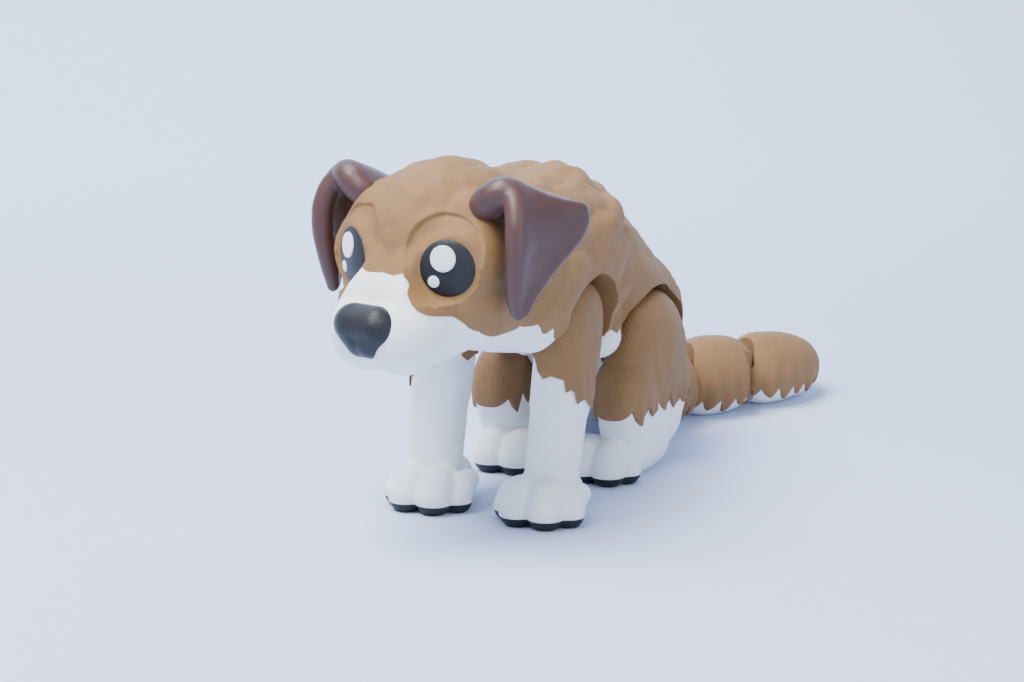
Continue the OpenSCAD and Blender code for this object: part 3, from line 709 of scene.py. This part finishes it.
def paw(bm, x, y, half):
    """Toes and pad. They reach below the ground, so that the sole comes out flat."""
    chain(bm, (x, y + 6, 5.0), 6.0, (x, y - 2.6, 4.8), 5.2, steps=5)
    for s in (-1, 1):
        toe(bm, x + s * 3.45, y - 7.9, 4.4)
        toe(bm, x + s * half, y - 4.0, 3.65)


for s, name in ((1, "left"), (-1, "right")):
    bm = bmesh.new()
    chain(bm, (15.25, 0, SHOULDER_Z), 9.1, (15.25, -1, 41), 9.1, 3, half=6.0, flat=3.0)
    chain(bm, (15.25, -1, 40), 9.1, (15.1, -4.6, 26), 7.4, 9, half=6.0, flat=3.0)
    chain(bm, (15.1, -4.6, 26), 7.4, (14.75, -8, 11), 6.0, 9, half=5.9, flat=2.5)
    paw(bm, 14.05, -9.5, 7.4)
    leg = fused("foreleg", bm, 0.36, 6)

    def curls(points):
        """Upright locks above the fur's lower edge."""
        y, z = points[:, 1], points[:, 2]
        fade = np.clip(1 - np.abs(z - 27) / 9, 0, 1)
        return 0.28 * fade * np.sin((y + 0.12 * z) * 2 * math.pi / 3.4)

    tan_leg_part = coat(copy_of(leg, "tan_leg_part"), 7.0, 0.35, (1, 1, 2.2), curls, proud=0.38)
    inner = [brick(-60, 9.5, -60, 60, 14, 90), brick(-60, 90, -60, 60, -20, 0)]
    for part in (tan_leg_part, leg):
        cut(part, [copy_of(t, "edge_tool") for t in inner])
    for t in inner:
        bpy.data.objects.remove(t)
    pin = rod(5.4, 10.5, 0, SHOULDER_Z, PIN_R)
    cut(pin, [rod(3.0, 5.4, 0, SHOULDER_Z, PIN_HEAD_R)], "UNION")
    cut(tan_leg_part, [pin], "UNION")
    steps = [(-60, 60), (1.6, 60), (2.6, 46), (3.2, 42.6), (4.4, 40.8), (4.6, 38.2), (5.8, 36.8),
             (6.4, 34.2), (7.6, 32.6), (9.4, 33.4), (12.3, 32.6), (12.7, 29.8), (14.0, 30.4),
             (15.0, 29.4), (15.5, 26.8), (17.0, 27.6), (18.0, 26.0), (19.0, 24.2), (20.2, 23.6),
             (21.2, 25.6), (22.4, 23.6), (24, 25.4), (26, 24.2), (60, 24.2), (60, -60), (-60, -60)]
    sock_shape = prism(steps, -60, 60, "Y")
    sock_shape.data.transform(Matrix.Rotation(turn, 4, "Z"))
    twin = copy_of(sock_shape, "sock_twin")
    cut(tan_leg_part, [sock_shape])
    cut(leg, [twin], "INTERSECT")
    sole = copy_of(leg, "sole")
    cut(sole, [brick(-60, 90, -60, 60, -20, SOLE_TOP)], "INTERSECT")
    cut(leg, [brick(-60, 90, -60, 60, -20, SOLE_TOP)])
    if s < 0:
        for part in (tan_leg_part, leg, sole):
            mirrored(part)
    body = "front_leg_" + name
    ready(tan_leg_part, name + "_foreleg_coat", tan_leg, body, "tan_plastic", name + "_foreleg_fur")
    ready(leg, name + "_foreleg_stocking", white, body, "white_plastic", name + "_foreleg_sock")
    ready(sole, name + "_foreleg_pad", black, body, "black_plastic", name + "_foreleg_sole")

# ---- rear legs ----
# A big round thigh on a hidden pin, folded as the puppy crouches, over a white foot. The fur
# hangs in pointed locks; only the toes have a black sole.
for s, name in ((1, "left"), (-1, "right")):
    bm = bmesh.new()
    bmesh.ops.create_icosphere(bm, subdivisions=5, radius=1.0, matrix=Matrix.Translation(
        (16.4, HIP_Y, HIP_Z)) @ Matrix.Diagonal((7.4, 15.7, 15.7, 1)))
    chain(bm, (16.2, HIP_Y, HIP_Z), 15.4, (16.2, HIP_Y - 3, HIP_Z - 4), 14.6, 3, half=6.2, flat=2.6)
    chain(bm, (16.2, HIP_Y - 11.8, HIP_Z - 7.6), 9.7, (16.6, HIP_Y + 4, HIP_Z - 9), 12.6, 8,
          half=6.2, flat=2.8)
    chain(bm, (16.2, HIP_Y - 11, 15), 8.6, (16.2, HIP_Y + 5, 13.5), 9.6, 7, half=6.0, flat=2.8)
    chain(bm, (15.8, HIP_Y - 10, 8), 7.2, (15.8, HIP_Y - 1, 7.4), 7.2, 5, half=6.4, flat=2.3)
    chain(bm, (15.0, HIP_Y - 12, 5.6), 6.4, (15.6, HIP_Y - 3.5, 5.0), 5.8, steps=5)
    paw(bm, 12.05, HIP_Y - 13, 6.4)
    leg = fused("rear_leg", bm, 0.38, 7)

    def haunch(points):
        """Upright locks at the hem, and a soft fold between knee and thigh."""
        y, z = points[:, 1], points[:, 2]
        hem = np.clip(1 - np.abs(z - 15) / 8, 0, 1)
        crease = np.exp(-((y - (HIP_Y - 8) + 0.25 * (z - 20)) / 1.3) ** 2)
        fold = crease * np.clip((32 - z) / 8, 0, 1)
        return 0.35 * hem * np.sin(y * 2 * math.pi / 4.2) - 0.5 * fold

    coat_part = coat(copy_of(leg, "coat_part"), 9.0, 0.45, (1, 1, 2.0), haunch, proud=0.38)
    inner = [brick(-60, 10.5, -60, 90, 12, 90), brick(-60, 90, -60, 90, -20, 0)]
    for part in (coat_part, leg):
        cut(part, [copy_of(t, "edge_tool") for t in inner])
    for t in inner:
        bpy.data.objects.remove(t)
    pin = rod(6.4, 11.5, HIP_Y, HIP_Z, PIN_R)
    cut(pin, [rod(4.0, 6.4, HIP_Y, HIP_Z, PIN_HEAD_R)], "UNION")
    cut(coat_part, [pin], "UNION")
    hem = locks((HIP_Y - 26, 18.4), (HIP_Y + 24, 17.4), 8, 3.2, 5)
    hem_shape = below(hem)
    twin = copy_of(hem_shape, "hem_twin")
    cut(coat_part, [hem_shape])
    cut(leg, [twin], "INTERSECT")
    sole = copy_of(leg, "sole")
    cut(sole, [brick(-60, 90, -60, HIP_Y - REAR_SOLE_BACK, -20, SOLE_TOP)], "INTERSECT")
    cut(leg, [brick(-60, 90, -60, HIP_Y - REAR_SOLE_BACK, -20, SOLE_TOP)])
    if s < 0:
        for part in (coat_part, leg, sole):
            mirrored(part)
    body = "rear_leg_" + name
    ready(coat_part, name + "_thigh_coat", tan_leg, body, "tan_plastic", name + "_thigh_fur")
    ready(leg, name + "_rear_stocking", white, body, "white_plastic", name + "_rear_sock")
    ready(sole, name + "_rear_pad", black, body, "black_plastic", name + "_rear_sole")

# ---- tail ----
# Three fat segments that lie flat on the table, each hung on an upright pin in the one before
# it. Tan above, with pointed locks over a white underside.
TAIL_ANGLES, TAIL_END, REAR_LAP = (8, 30, 28), 30.5, 6.6
for i in range(3):
    name = f"tail_{i + 1}"
    pivot = Vector(joints[name + "_turn"]["pos_m"])
    ahead = Vector(joints[f"tail_{i + 2}_turn"]["pos_m"]) if i < 2 else None
    bend_angle = -math.radians(TAIL_ANGLES[i])
    last = i == 2
    length = TAIL_END if last else (ahead - pivot).length * 1000
    bm = bmesh.new()
    tip = length if last else length + REAR_LAP
    mid, half = (2.8 + tip) / 2, (tip - 2.8) / 2
    r0, r1, lift = (9.5, 7.6, 9.4) if last else (10.4, 10.3, 10)
    ball = bmesh.ops.create_icosphere(bm, subdivisions=5, radius=1.0)
    for v in ball["verts"]:
        reach, along = math.hypot(v.co.x, v.co.z), v.co.y
        k = 1 / (reach ** 2.6 + abs(along) ** 2.6) ** (1 / 2.6)
        r = r0 + (r1 - r0) * max(0.0, along)
        v.co = Vector((v.co.x * k * r, mid + along * k * half, lift + v.co.z * k * r))
    if last:
        chain(bm, (0, 12, 10.0), 9.3, (0, 22, 8.6), 8.2, steps=4)
    segment = fused(name, bm, 0.42, 8)

    def tuft_ridges(points):
        """Upright ridges over the fur's lower edge."""
        y, z = points[:, 1], points[:, 2]
        fade = np.clip(1 - np.abs(z - 6) / 7, 0, 1)
        return 0.4 * fade * np.sin(y * 2 * math.pi / 4.6 + 1.0)

    top = coat(copy_of(segment, "top"), 9.0, 0.35, (1, 2.0, 1), tuft_ridges, proud=0.3)
    for part in (top, segment):
        cut(part, [brick(-60, 60, -60, 0, -60, 90), brick(-60, 60, -60, 90, -40, 0)])
        room = post(0, 0, -20, 90, 7.6)
        cut(room, [brick(-60, 60, -60, 60, 5.5, 12)])
        cut(part, [room])
        if not last:
            cut(part, tail_room(0, length, 0))
    bar = brick(-3, 3, 0, 9, 5.5, 12)
    cut(bar, [post(0, 0, 5.5, 12, HINGE_EYE_R)], "UNION")
    cut(bar, [post(0, 0, 0, 20, HINGE_PIN_R + GAP)])
    cut(top, [bar], "UNION")
    hem = locks((-8, 5.4), (length + 6, 5.4 + (0.8 if last else 0)), 9 if last else 7, 3.4, 20 + i)
    hem_shape = below(hem)
    cut(hem_shape, [brick(-90, 90, -90, 3.2, 5.0, 30)])
    twin = copy_of(hem_shape, "hem_twin")
    cut(top, [hem_shape])
    cut(segment, [twin], "INTERSECT")
    tail_place = (Matrix.Translation(Vector((pivot.x, pivot.y, 0)))
                  @ Matrix.Rotation(bend_angle, 4, "Z"))
    ready(top, name + "_coat", tan, name, "tan_plastic", name + "_fur", turned=tail_place)
    ready(segment, name + "_underside", white, name, "white_plastic", name + "_base",
          turned=tail_place)
